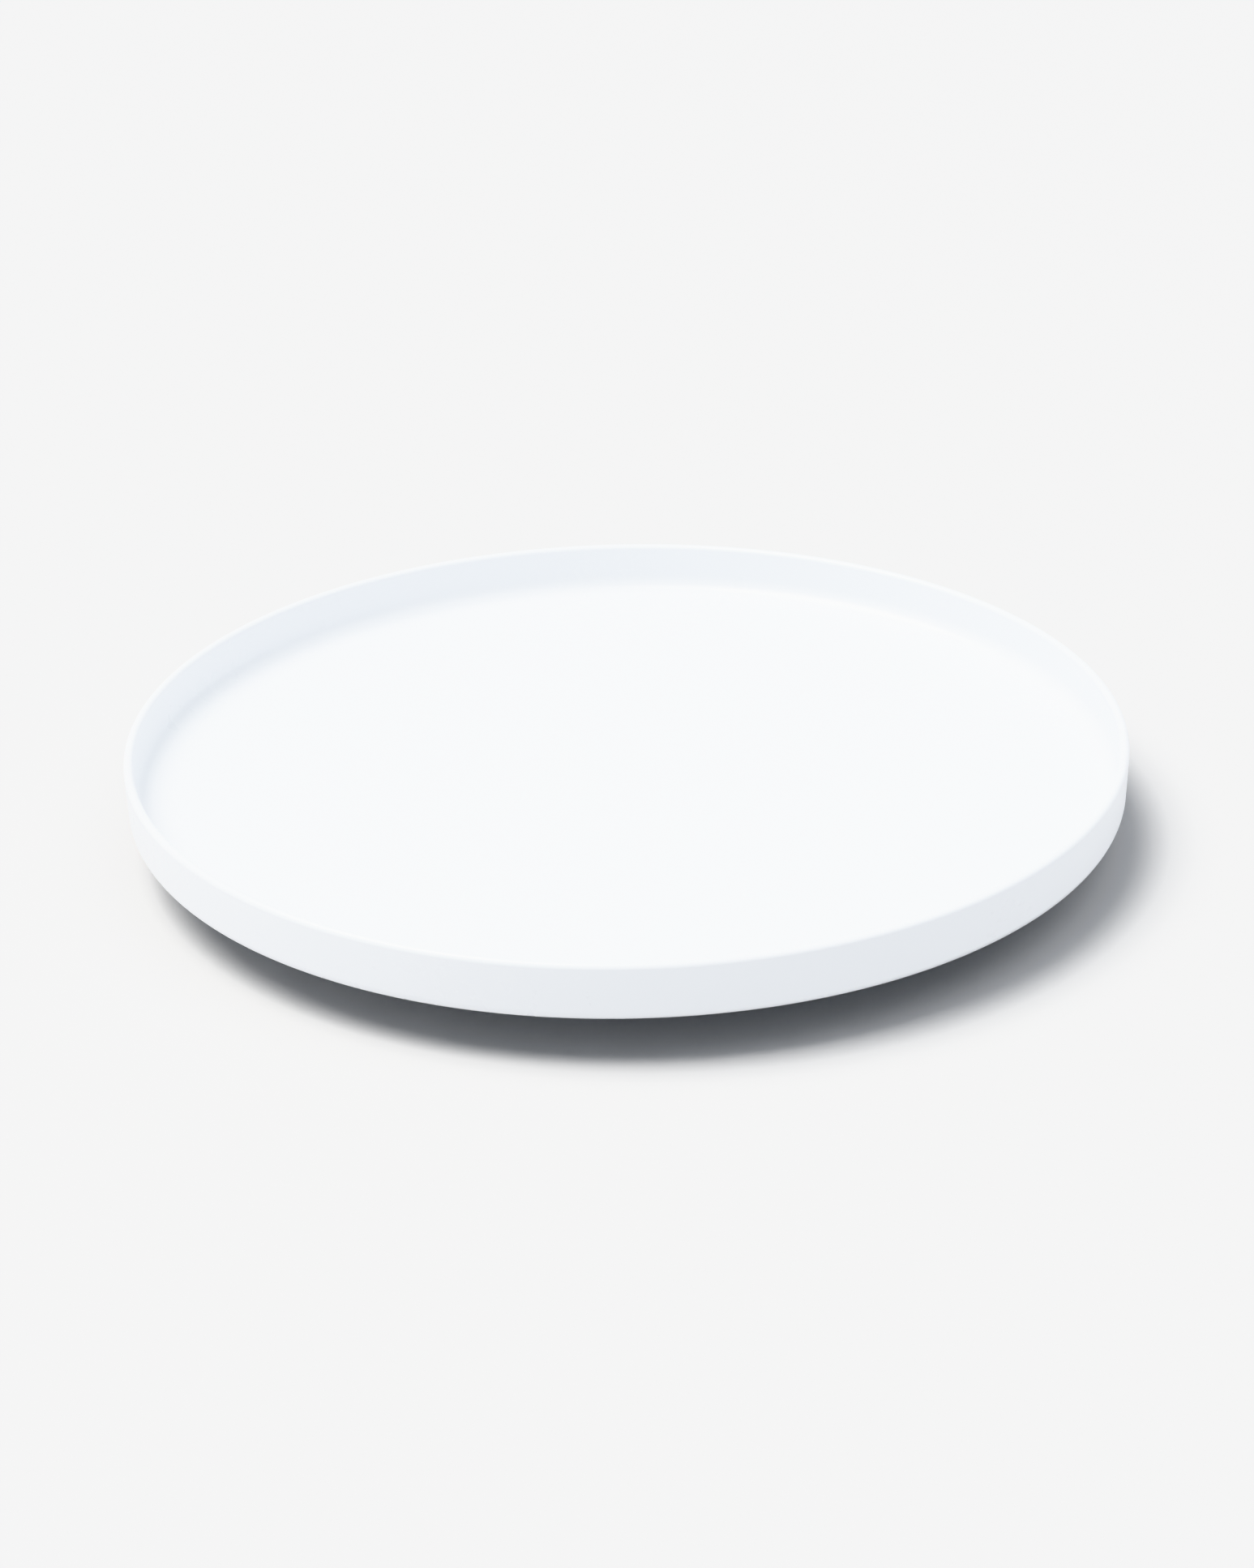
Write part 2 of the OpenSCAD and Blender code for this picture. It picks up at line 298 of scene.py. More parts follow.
def flat_ring(inner, outer, bottom, top, fillet):
    """Section of a plain ring with rounded edges."""
    corners = [(inner, bottom), (outer, bottom), (outer, top), (inner, top)]
    return rounded([(*corner, fillet) for corner in corners])


# ---------------------------------------------------------------- node trees

GEOMETRY = "NodeSocketGeometry"
LENGTH = "NodeSocketFloat"
WHOLE = "NodeSocketInt"
MATERIAL = "NodeSocketMaterial"

EDGE_STEPS = 3
DRUM_STEPS = 64
POCKET_STEPS = 5
THREAD_STEPS = 40


class Nodes:
    """Adds nodes to a tree and joins their sockets."""

    def __init__(self, tree):
        self.tree = tree

    def add(self, kind, inputs=None, **settings):
        node = self.tree.nodes.new(kind)
        for name, value in settings.items():
            setattr(node, name, value)
        for name, value in (inputs or {}).items():
            self.feed(node.inputs[name], value)
        return node

    def feed(self, socket, value):
        if isinstance(value, bpy.types.NodeSocket):
            self.tree.links.new(value, socket)
        else:
            socket.default_value = value

    def math(self, operation, first, second=0.0):
        return self.add("ShaderNodeMath", {0: first, 1: second}, operation=operation).outputs[0]

    def vector(self, x=0.0, y=0.0, z=0.0):
        return self.add("ShaderNodeCombineXYZ", {"X": x, "Y": y, "Z": z}).outputs[0]


class ShapeTree(Nodes):
    """A Geometry Nodes tree with named inputs."""

    def __init__(self, name, inputs):
        super().__init__(bpy.data.node_groups.new(name, "GeometryNodeTree"))
        for label, kind in inputs.items():
            self.tree.interface.new_socket(label, in_out="INPUT", socket_type=kind)
        self.tree.interface.new_socket("Geometry", in_out="OUTPUT", socket_type=GEOMETRY)
        self.given = self.add("NodeGroupInput").outputs

    def group(self, tree, inputs):
        return self.add("GeometryNodeGroup", inputs, node_tree=tree).outputs[0]

    def turned(self):
        """The piece's own section, turned about Z."""
        return self.group(turned_tree(), {name: self.given[name] for name in ("Section", "Segments")})

    def around(self, shape, count):
        """Copies of a shape, as many as the input of that name says."""
        return self.group(around_tree(), {"Shape": shape, "Count": self.given[count]})

    def drum(self, out, radius, bottom, top):
        """A drum whose sizes are the inputs of those names."""
        sizes = {"Out": out, "Radius": radius, "Bottom": bottom, "Top": top}
        return self.group(drum_tree(), {size: self.given[name] for size, name in sizes.items()})

    def combined(self, operation, inputs, shapes):
        node = self.add("GeometryNodeMeshBoolean", inputs, operation=operation, solver="MANIFOLD")
        for shape in shapes:
            self.tree.links.new(shape, node.inputs["Mesh 2"])
        return node.outputs[0]

    def union(self, *shapes):
        return self.combined("UNION", {}, shapes)

    def cut(self, shape, *tools):
        return self.combined("DIFFERENCE", {"Mesh 1": shape}, tools)

    def moved(self, shape, x=0.0, y=0.0, z=0.0, tilt=(0.0, 0.0, 0.0)):
        inputs = {"Geometry": shape, "Translation": self.vector(x, y, z), "Rotation": tilt}
        return self.add("GeometryNodeTransform", inputs).outputs[0]

    def done(self, shape):
        self.feed(self.add("NodeGroupOutput").inputs[0], shape)
        return self.tree

    def finished(self, shape):
        """Ends a piece's tree, with its copies made real and its material set."""
        real = self.add("GeometryNodeRealizeInstances", {"Geometry": shape}).outputs[0]
        inputs = {"Geometry": real, "Material": self.given["Material"]}
        return self.done(self.add("GeometryNodeSetMaterial", inputs).outputs[0])


def shared(make):
    """Keeps the one tree that a function makes, so that every piece uses the same one."""
    kept = {}

    def tree():
        if make not in kept:
            kept[make] = make()
        return kept[make]

    return tree


@shared
def turned_tree():
    """A section in the XZ plane, drawn anticlockwise, turned about Z."""
    t = ShapeTree("Turned", {"Section": GEOMETRY, "Segments": WHOLE})
    # Any radius does for the path, because the section is set back by as much.
    path_r = 0.1
    flat = t.moved(t.given["Section"], x=-path_r, tilt=(math.radians(90), 0, 0))
    profile = t.add("GeometryNodeMeshToCurve", {"Mesh": flat}).outputs[0]
    circle = {"Resolution": t.given["Segments"], "Radius": path_r}
    path = t.add("GeometryNodeCurvePrimitiveCircle", circle).outputs[0]
    skin = t.add("GeometryNodeCurveToMesh", {"Curve": path, "Profile Curve": profile}).outputs[0]
    closed = t.add("GeometryNodeMergeByDistance", {"Geometry": skin, "Distance": SAME_POINT}).outputs[0]
    # The sweep leaves the faces pointing inwards.
    return t.done(t.add("GeometryNodeFlipFaces", {"Mesh": closed}).outputs[0])


@shared
def around_tree():
    """Copies of a shape, evenly spaced about Z."""
    t = ShapeTree("Around", {"Shape": GEOMETRY, "Count": WHOLE})
    points = t.add("GeometryNodePoints", {"Count": t.given["Count"]}).outputs[0]
    step = t.math("DIVIDE", math.tau, t.given["Count"])
    angle = t.math("MULTIPLY", t.add("GeometryNodeInputIndex").outputs[0], step)
    inputs = {"Points": points, "Instance": t.given["Shape"], "Rotation": t.vector(z=angle)}
    copies = t.add("GeometryNodeInstanceOnPoints", inputs).outputs[0]
    return t.done(t.add("GeometryNodeRealizeInstances", {"Geometry": copies}).outputs[0])


@shared
def bar_tree():
    """A bar with rounded edges, along X from one radius to another."""
    t = ShapeTree("Bar", {"Start": LENGTH, "End": LENGTH, "Width": LENGTH, "Bottom": LENGTH,
                          "Top": LENGTH, "Fillet": LENGTH})
    height = t.math("SUBTRACT", t.given["Top"], t.given["Bottom"])
    middle = t.math("MULTIPLY", t.math("ADD", t.given["Top"], t.given["Bottom"]), 0.5)
    box = t.add("GeometryNodeCurvePrimitiveQuadrilateral", {"Width": t.given["Width"], "Height": height})
    inputs = {"Curve": box.outputs[0], "Radius": t.given["Fillet"], "Count": EDGE_STEPS}
    outline = t.add("GeometryNodeFilletCurve", inputs, mode="POLY").outputs[0]
    ends = {"Start": t.vector(x=t.given["Start"]), "End": t.vector(x=t.given["End"])}
    line = t.add("GeometryNodeCurvePrimitiveLine", ends).outputs[0]
    inputs = {"Curve": line, "Profile Curve": outline, "Fill Caps": True}
    return t.done(t.moved(t.add("GeometryNodeCurveToMesh", inputs).outputs[0], z=middle))


@shared
def drum_tree():
    """A plain drum about Z, out at a radius."""
    t = ShapeTree("Drum", {"Out": LENGTH, "Radius": LENGTH, "Bottom": LENGTH, "Top": LENGTH})
    depth = t.math("SUBTRACT", t.given["Top"], t.given["Bottom"])
    middle = t.math("MULTIPLY", t.math("ADD", t.given["Top"], t.given["Bottom"]), 0.5)
    inputs = {"Vertices": DRUM_STEPS, "Radius": t.given["Radius"], "Depth": depth}
    drum = t.add("GeometryNodeMeshCylinder", inputs).outputs[0]
    return t.done(t.moved(drum, x=t.given["Out"], z=middle))


def turned_only():
    """A piece that is nothing but its turned section."""
    t = ShapeTree("Turned piece", {"Section": GEOMETRY, "Segments": WHOLE, "Material": MATERIAL})
    return t.finished(t.turned())


def tray_tree():
    """The turned tray with its two rings of ribs and the marks that the ejector pins leave."""
    counts = ["Segments", "Inner Ribs", "Outer Ribs", "Marks"]
    names = ["Inner Start", "Inner End", "Inner Bottom", "Outer Start", "Outer End", "Outer Bottom",
             "Rib Top", "Rib Thickness", "Rib Fillet", "Mark Ring", "Mark Radius", "Mark Bottom", "Mark Top"]
    t = ShapeTree("Tray", {"Section": GEOMETRY, **dict.fromkeys(counts, WHOLE),
                           **dict.fromkeys(names, LENGTH), "Material": MATERIAL})
    rings = []
    for ring in ("Inner", "Outer"):
        bar = t.group(bar_tree(), {
            "Start": t.given[ring + " Start"], "End": t.given[ring + " End"],
            "Bottom": t.given[ring + " Bottom"], "Top": t.given["Rib Top"],
            "Width": t.given["Rib Thickness"], "Fillet": t.given["Rib Fillet"]})
        rings.append(t.around(bar, ring + " Ribs"))
    marks = t.around(t.drum("Mark Ring", "Mark Radius", "Mark Bottom", "Mark Top"), "Marks")
    between = t.math("DIVIDE", math.pi, t.given["Inner Ribs"])
    return t.finished(t.cut(t.union(t.turned(), *rings), t.moved(marks, tilt=t.vector(z=between))))


def base_tree():
    """The turned base with its ribs, the sockets of the feet and their pockets."""
    names = ["Rib Start", "Rib End", "Rib Bottom", "Rib Top", "Rib Thickness", "Rib Fillet", "Foot Ring",
             "Socket Radius", "Socket Bottom", "Pocket Radius", "Pocket Top", "Below"]
    t = ShapeTree("Base", {"Section": GEOMETRY, "Segments": WHOLE, "Ribs": WHOLE, "Feet": WHOLE,
                           **dict.fromkeys(names, LENGTH), "Material": MATERIAL})
    bar = t.group(bar_tree(), {
        "Start": t.given["Rib Start"], "End": t.given["Rib End"], "Width": t.given["Rib Thickness"],
        "Bottom": t.given["Rib Bottom"], "Top": t.given["Rib Top"], "Fillet": t.given["Rib Fillet"]})
    ribs = t.around(bar, "Ribs")
    sockets = t.around(t.drum("Foot Ring", "Socket Radius", "Socket Bottom", "Rib Top"), "Feet")
    pockets = t.around(t.drum("Foot Ring", "Pocket Radius", "Below", "Pocket Top"), "Feet")
    return t.finished(t.cut(t.union(t.turned(), ribs, sockets), pockets))


def cage_tree():
    """The turned cage ring with a pocket for each ball."""
    names = ["Ring", "Height", "Hole", "Drum", "Bottom", "Top"]
    t = ShapeTree("Cage", {"Section": GEOMETRY, "Segments": WHOLE, "Count": WHOLE,
                           **dict.fromkeys(names, LENGTH), "Material": MATERIAL})
    drums = t.around(t.drum("Ring", "Drum", "Bottom", "Top"), "Count")
    inputs = {"Radius": t.given["Hole"], "Subdivisions": POCKET_STEPS}
    hole = t.add("GeometryNodeMeshIcoSphere", inputs).outputs[0]
    hole = t.moved(hole, x=t.given["Ring"], z=t.given["Height"])
    return t.finished(t.cut(t.union(t.turned(), drums), t.around(hole, "Count")))


def feet_tree():
    """One turned foot, repeated round the base."""
    t = ShapeTree("Feet", {"Section": GEOMETRY, "Segments": WHOLE, "Count": WHOLE, "Ring": LENGTH,
                           "Material": MATERIAL})
    foot = t.moved(t.turned(), x=t.given["Ring"])
    return t.finished(t.around(foot, "Count"))


def ball_tree():
    """One ball at its place on the track."""
    t = ShapeTree("Ball", {"Section": GEOMETRY, "Radius": LENGTH, "Steps": WHOLE, "Ring": LENGTH,
                           "Height": LENGTH, "Angle": LENGTH, "Material": MATERIAL})
    inputs = {"Radius": t.given["Radius"], "Subdivisions": t.given["Steps"]}
    ball = t.add("GeometryNodeMeshIcoSphere", inputs).outputs[0]
    out = t.moved(ball, x=t.given["Ring"], z=t.given["Height"])
    return t.finished(t.moved(out, tilt=t.vector(z=t.given["Angle"])))


def screw_tree():
    """The turned screw with its thread wound on and its cross recess cut."""
    names = ["Pitch", "Thread Start", "Thread Length", "Core", "Tooth", "Cross Width", "Cross Length",
             "Cross Bottom", "Cross Top"]
    t = ShapeTree("Screw", {"Section": GEOMETRY, "Segments": WHOLE, **dict.fromkeys(names, LENGTH),
                            "Material": MATERIAL})
    turns = t.math("DIVIDE", t.given["Thread Length"], t.given["Pitch"])
    helix = t.add("GeometryNodeCurveSpiral", {
        "Resolution": THREAD_STEPS, "Rotations": turns, "Height": t.given["Thread Length"],
        "Start Radius": t.given["Core"], "End Radius": t.given["Core"]}).outputs[0]
    inputs = {"Resolution": 4, "Radius": t.given["Tooth"]}
    tooth = t.add("GeometryNodeCurvePrimitiveCircle", inputs).outputs[0]
    inputs = {"Curve": helix, "Profile Curve": tooth, "Fill Caps": True}
    thread = t.moved(t.add("GeometryNodeCurveToMesh", inputs).outputs[0], z=t.given["Thread Start"])
    half = t.math("MULTIPLY", t.given["Cross Length"], 0.5)
    slot = t.group(bar_tree(), {
        "Start": t.math("MULTIPLY", half, -1.0), "End": half, "Width": t.given["Cross Width"],
        "Bottom": t.given["Cross Bottom"], "Top": t.given["Cross Top"], "Fillet": 0.0})
    cross = t.moved(slot, tilt=(0, 0, math.radians(90)))
    return t.finished(t.cut(t.union(t.turned(), thread), slot, cross))


# ---------------------------------------------------------------- finished pieces


def shaped(name, tree, sizes, material, section=((0, 0), (1, 0)), closed=False):
    """The plain mesh object that a tree makes from a section."""
    points = [(x, 0, z) for x, z in section]
    edges = [(i, i + 1) for i in range(len(points) - 1)]
    if closed:
        edges.append((len(points) - 1, 0))
    outline = bpy.data.meshes.new(name + "_section")
    outline.from_pydata(points, edges, [])
    source = bpy.data.objects.new(name + "_section", outline)
    bpy.context.scene.collection.objects.link(source)
    modifier = source.modifiers.new("Shape", "NODES")
    modifier.node_group = tree
    identifiers = {s.name: s.identifier for s in tree.interface.items_tree if s.in_out == "INPUT"}
    for label, value in {**sizes, "Material": material}.items():
        modifier[identifiers[label]] = value
    graph = bpy.context.evaluated_depsgraph_get()
    mesh = bpy.data.meshes.new_from_object(source.evaluated_get(graph))
    bpy.data.objects.remove(source)
    if not mesh.polygons:
        raise RuntimeError(f"{name} came out empty")
    return smoothed(name, mesh)


def smoothed(name, mesh):
    """An object with outward faces, smooth but for its real edges."""
    work = bmesh.new()
    work.from_mesh(mesh)
    bmesh.ops.remove_doubles(work, verts=work.verts, dist=SAME_POINT)
    bmesh.ops.recalc_face_normals(work, faces=work.faces)
    if work.calc_volume(signed=True) < 0:
        bmesh.ops.reverse_faces(work, faces=work.faces)
    if not all(edge.is_manifold for edge in work.edges):
        raise RuntimeError(f"{name} has open edges")
    work.to_mesh(mesh)
    work.free()
    mesh.name = name
    mesh.shade_smooth()
    mesh.set_sharp_from_angle(angle=SMOOTH_LIMIT)
    piece = bpy.data.objects.new(name, mesh)
    bpy.context.scene.collection.objects.link(piece)
    return piece


def fitted(piece, body, slot, *nodes):
    """Puts a finished piece on its body, in place of its CAD nodes."""
    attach(piece, body)
    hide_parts(*nodes)
    return piece


# ---------------------------------------------------------------- materials


class Finish(Nodes):
    """A material whose pattern reads the piece's own coordinates."""

    def __init__(self, name):
        self.material = bpy.data.materials.new(name)
        self.material.use_nodes = True
        super().__init__(self.material.node_tree)
        self.shader = self.tree.nodes["Principled BSDF"]
        self.place = self.add("ShaderNodeTexCoord").outputs["Object"]

    def set(self, **values):
        for name, value in values.items():
            self.feed(self.shader.inputs[name.replace("_", " ")], value)

    def noise(self, size, detail=2.0, where=None):
        """Noise whose blotches are about size metres across."""
        inputs = {"Vector": self.place if where is None else where, "Scale": 1 / size, "Detail": detail}
        return self.add("ShaderNodeTexNoise", inputs).outputs["Fac"]

    def between(self, factor, low, high):
        """A factor around a half, spread from low to high."""
        inputs = {"Value": factor, "From Min": 0.3, "From Max": 0.7, "To Min": low, "To Max": high}
        return self.add("ShaderNodeMapRange", inputs).outputs[0]

    def tint(self, factor, first, second):
        node = self.add("ShaderNodeMix", {"Factor": factor}, data_type="RGBA")
        node.inputs[6].default_value = (*first, 1)
        node.inputs[7].default_value = (*second, 1)
        return node.outputs[2]

    def radius(self):
        """Distance from the turning axis."""
        parts = self.add("ShaderNodeSeparateXYZ", {0: self.place}).outputs
        squares = [self.math("POWER", parts[axis], 2.0) for axis in "XY"]
        return self.math("SQRT", self.math("ADD", *squares))

    def relief(self, *layers):
        """Bumps laid over each other, each a (height factor, depth in metres)."""
        normal = None
        for factor, depth in layers:
            inputs = {"Height": factor, "Distance": depth, "Strength": 1.0}
            if normal is not None:
                inputs["Normal"] = normal
            normal = self.add("ShaderNodeBump", inputs).outputs[0]
        self.set(Normal=normal)


def shade(base, factor):
    return tuple(min(1.0, c * factor) for c in base)


def tray_finish(base):
    """Glossy white moulding: a faint ripple, a fine grain, and a gloss that varies a little."""
    f = Finish("tray_white_gloss")
    cloud = f.noise(55 * MM, 3.0)
    handling = f.noise(7 * MM, 5.0)
    rough = f.math("ADD", f.between(cloud, 0.26, 0.32), f.between(handling, -0.015, 0.02))
    f.set(Base_Color=f.tint(f.between(cloud, 0.0, 1.0), shade(base, 0.992), shade(base, 1.006)),
          Roughness=rough, IOR=1.49)
    f.relief((f.noise(9 * MM, 1.0), 0.010 * MM))
    return f.material


def base_finish(base):
    """Dull white moulding with a fine spark-eroded grain."""
    f = Finish("base_white_dull")
    cloud = f.noise(40 * MM, 3.0)
    grain = f.noise(0.35 * MM, 3.0)
    f.set(Base_Color=f.tint(f.between(cloud, 0.0, 1.0), shade(base, 0.98), shade(base, 1.01)),
          Roughness=f.between(grain, 0.5, 0.62), IOR=1.49)
    f.relief((f.noise(6 * MM, 1.0), 0.006 * MM), (grain, 0.006 * MM))
    return f.material


def nylon_finish(base):
    """Natural nylon: slightly waxy, with a soft mottling."""
    f = Finish("nylon_natural")
    cloud = f.noise(5 * MM, 3.0)
    f.set(Base_Color=f.tint(f.between(cloud, 0.0, 1.0), shade(base, 0.95), shade(base, 1.03)),
          Roughness=f.between(cloud, 0.36, 0.46), IOR=1.53)
    f.shader.inputs["Subsurface Weight"].default_value = 0.15
    f.shader.inputs["Subsurface Scale"].default_value = 1.5 * MM
    f.relief((f.noise(1.2 * MM, 2.0), 0.003 * MM))
    return f.material


def race_finish(base):
    """Rolled steel with fine rings from turning, burnished bright where the balls run."""
    f = Finish("race_steel")
    radius = f.radius()
    rings = f.noise(0.05 * MM, 2.0, f.vector(x=radius))
    smudge = f.noise(4 * MM, 4.0)
    off_track = f.math("ABSOLUTE", f.math("SUBTRACT", radius, TRACK_R))
    inputs = {"Value": off_track, "From Min": BURNISHED, "From Max": DULL, "To Min": 0.0, "To Max": 1.0}
    worn = f.add("ShaderNodeMapRange", inputs, interpolation_type="SMOOTHSTEP").outputs[0]
    dull = f.math("ADD", f.between(smudge, 0.26, 0.38), f.between(rings, -0.04, 0.04))
    f.set(Base_Color=f.tint(worn, shade(base, 1.22), base),
          Roughness=f.math("MULTIPLY", dull, f.math("ADD", f.math("MULTIPLY", worn, 0.55), 0.45)),
          Metallic=1.0)
    f.relief((rings, 0.003 * MM))
    return f.material


def zinc_finish(base):
    """Bright zinc plate: small crystals, and a faint blue and straw bloom."""
    f = Finish("zinc_plate")
    crystal = f.add("ShaderNodeTexVoronoi", {"Vector": f.place, "Scale": 1 / (0.7 * MM)}).outputs["Color"]
    crystal = f.add("ShaderNodeSeparateColor", {0: crystal}).outputs[0]
    bloom = f.noise(6 * MM, 2.0)
    straw = (base[0] * 1.05, base[1], base[2] * 0.86)
    f.set(Base_Color=f.tint(f.between(bloom, 0.0, 1.0), base, straw), Metallic=1.0,
          Roughness=f.between(crystal, 0.22, 0.36))
    f.relief((f.noise(0.2 * MM, 2.0), 0.002 * MM))
    return f.material


def ball_finish(base):
    """Polished steel with faint run-in marks."""
    f = Finish("ball_polished")
    marks = f.noise(0.4 * MM, 5.0)
    f.set(Base_Color=f.tint(f.between(marks, 0.0, 1.0), shade(base, 0.97), shade(base, 1.04)),
          Metallic=1.0, Roughness=f.between(marks, 0.05, 0.11))
    return f.material


def rubber_finish(base):
    """Matte rubber with a fine grain and a little dust."""
    f = Finish("rubber_matte")
    dust = f.noise(1.5 * MM, 5.0)
    grain = f.noise(0.18 * MM, 2.0)
    f.set(Base_Color=f.tint(f.between(dust, 0.0, 1.0), base, shade(base, 1.7)),
          Roughness=f.between(grain, 0.72, 0.86), IOR=1.52)
    f.relief((grain, 0.010 * MM))
    return f.material


FINISHES = {
    "tray": tray_finish,
    "base": base_finish,
    "nylon": nylon_finish,
    "race": race_finish,
    "zinc": zinc_finish,
    "ball": ball_finish,
    "rubber": rubber_finish,
}
made_finishes = {}


def finish(name):
    """The material of that name, made once."""
    if name not in made_finishes:
        made_finishes[name] = FINISHES[name](tuple(getattr(bpy.context.scene.turntable.finishes, name)))
    return made_finishes[name]


# ---------------------------------------------------------------- sections


def tray_section(s, seat):
    """The tray's outline, from the top of the screw hole round to the middle of the floor."""
    half = s.wall / 2
    under = UPPER_RACE.top
    lean_in = Vector((math.sin(s.lean), math.cos(s.lean)))
    outward = Vector((math.cos(s.lean), -math.sin(s.lean)))
    rim = Vector((TRAY.outer - half, TRAY.top - half))

    def wall_point(height, offset):
        start = rim + outward * offset
        return start - lean_in * (start.y - height) / math.cos(s.lean)

    heel = wall_point(HEEL_Z, half)
    cove = wall_point(FLOOR_Z, -half)
    rim_out = rim + (outward + lean_in) * half
    rim_in = rim + (lean_in - outward) * half
    lip = heel.x - s.heel - s.lip
    race_in, race_out = UPPER_RACE.inner - seat, UPPER_RACE.outer + seat
    keeper_z = under - s.keeper_height
    hole_r = bpy.context.scene.turntable.centre.screw / 2
    hole_top = SCREW.top + s.screw_room
    edge = 0.3 * MM
    return rounded([
        (0, hole_top, 0), (hole_r, hole_top, 0), (hole_r, TRAY.bottom, edge),
        (s.boss / 2, TRAY.bottom, edge), (s.boss / 2, under, edge),
        (race_in - s.keeper, under, edge), (race_in - s.keeper, keeper_z, edge),
        (race_in, keeper_z, edge), (race_in, under, 0), (race_out, under, 0),
        (race_out, keeper_z, edge), (race_out + s.keeper, keeper_z, edge),
        (race_out + s.keeper, under, edge), (lip, under, edge), (lip, HEEL_Z, edge),
        (*heel, s.heel), (*rim_out, half), (*rim_in, half), (*cove, s.cove), (0, FLOOR_Z, 0),
    ], closed=False)


def race_section(race, groove_side, track):
    """A race ring's outline, with its groove on top for a side of 1 and below for -1."""
    groove_r = BALL_R + track.slack
    centre_z = BALL_Z + groove_side * (track.slack - track.contact)
    face = race.top if groove_side > 0 else race.bottom
    back = race.bottom if groove_side > 0 else race.top
    half = math.acos(abs(face - centre_z) / groove_r)
    middle = -groove_side * math.pi / 2
    edge = 0.2 * MM
    groove = arc((TRACK_R, centre_z), groove_r, middle - half * groove_side, middle + half * groove_side)
    return rounded([
        (race.outer, back, edge), (race.outer, face, edge), *reversed(groove),
        (race.inner, face, edge), (race.inner, back, edge)])


def base_section(s, track, centre):
    """The base's outline: skirt, plate, keepers, hub, well and ring rib."""
    tray = bpy.context.scene.turntable.tray
    plate_z = LOWER_RACE.bottom
    roof = plate_z - s.plate
    rib_z = BASE.bottom + s.setback
    race_in, race_out = LOWER_RACE.inner - track.seat, LOWER_RACE.outer + track.seat
    keeper_z = plate_z + tray.keeper_height
    bush_out = BUSH.inner + centre.bush
    well_in = WASHER.outer + 2 * track.seat
    cap_out = CAP.outer + track.seat
    well_out = cap_out + s.well
    skirt_in = BASE.outer - s.skirt
    ring_in, ring_out = TRACK_R - s.skirt / 2, TRACK_R + s.skirt / 2
    edge = 0.3 * MM
    return rounded([
        (BASE.outer, BASE.bottom, edge), (BASE.outer, plate_z, s.shoulder),
        (race_out + tray.keeper, plate_z, edge), (race_out + tray.keeper, keeper_z, edge),
        (race_out, keeper_z, edge), (race_out, plate_z, 0), (race_in, plate_z, 0),
        (race_in, keeper_z, edge), (race_in - tray.keeper, keeper_z, edge),
        (race_in - tray.keeper, plate_z, edge), (well_out, plate_z, 2 * edge),
        (well_out, BASE.top, 2 * edge), (bush_out, BASE.top, 0), (bush_out, THRUST.top, 0),
        (well_in, THRUST.top, 0), (well_in, CAP.top, 0), (cap_out, CAP.top, 0), (cap_out, BASE.bottom, edge),
        (well_out, BASE.bottom, edge), (well_out, roof, edge), (ring_in, roof, edge),
        (ring_in, rib_z, edge), (ring_out, rib_z, edge), (ring_out, roof, edge),
        (skirt_in, roof, edge), (skirt_in, BASE.bottom, edge)])


def foot_section(s):
    """A foot's outline, from the middle of its sole to the middle of its back."""
    edge, back_edge = 0.8 * MM, 0.2 * MM
    groove_w, groove_h, lip = 0.8 * MM, 0.5 * MM, 0.15 * MM
    return rounded([
        (0, FOOT.bottom, 0), (s.grip, FOOT.bottom, lip), (s.grip, FOOT.bottom + groove_h, lip),
        (s.grip + groove_w, FOOT.bottom + groove_h, lip), (s.grip + groove_w, FOOT.bottom, lip),
        (FOOT_R, FOOT.bottom, edge), (FOOT_R, FOOT.top, back_edge), (0, FOOT.top, 0)], closed=False)


def bush_section(s):
    """The flanged bush's outline."""
    outer = BUSH.inner + s.bush
    flange_z = BUSH.top - s.flange
    toe_in, toe_out, edge, rim, lead_in = 0.1 * MM, 0.2 * MM, 0.15 * MM, 0.4 * MM, 0.3 * MM
    return rounded([
        (BUSH.inner, BUSH.bottom, toe_in), (outer, BUSH.bottom, toe_out), (outer, flange_z, 0),
        (BUSH.outer, flange_z, edge), (BUSH.outer, BUSH.top, rim), (BUSH.inner, BUSH.top, lead_in)])


def cap_section(s):
    """The cap's outline, from the middle of its outside to the middle of its inside."""
    plate_top = CAP.bottom + s.cap
    ring_in = CAP.outer - s.cap_ring
    edge = 0.2 * MM
    return rounded([
        (0, CAP.bottom, 0), (CAP.outer, CAP.bottom, edge), (CAP.outer, CAP.top, edge),
        (ring_in, CAP.top, edge), (ring_in, plate_top, edge), (0, plate_top, 0)], closed=False)


def screw_section(s, core):
    """The screw's outline without its thread, from the head's face to the tip."""
    shoulder = SCREW.bottom + s.head
    crown = 0.55 * s.head
    run_out = 0.3 * MM
    taper = 0.8 * MM
    point = 0.6 * core
    edge = 0.15 * MM
    return rounded([
        (0, SCREW.bottom, 0), (SCREW.outer, SCREW.bottom, crown), (SCREW.outer, shoulder, edge),
        (s.screw / 2, shoulder, 0), (s.screw / 2, WASHER.top, 0), (core, WASHER.top + run_out, 0),
        (core, SCREW.top - taper, 0), (point, SCREW.top, 0), (0, SCREW.top, 0)], closed=False)


# ---------------------------------------------------------------- operators


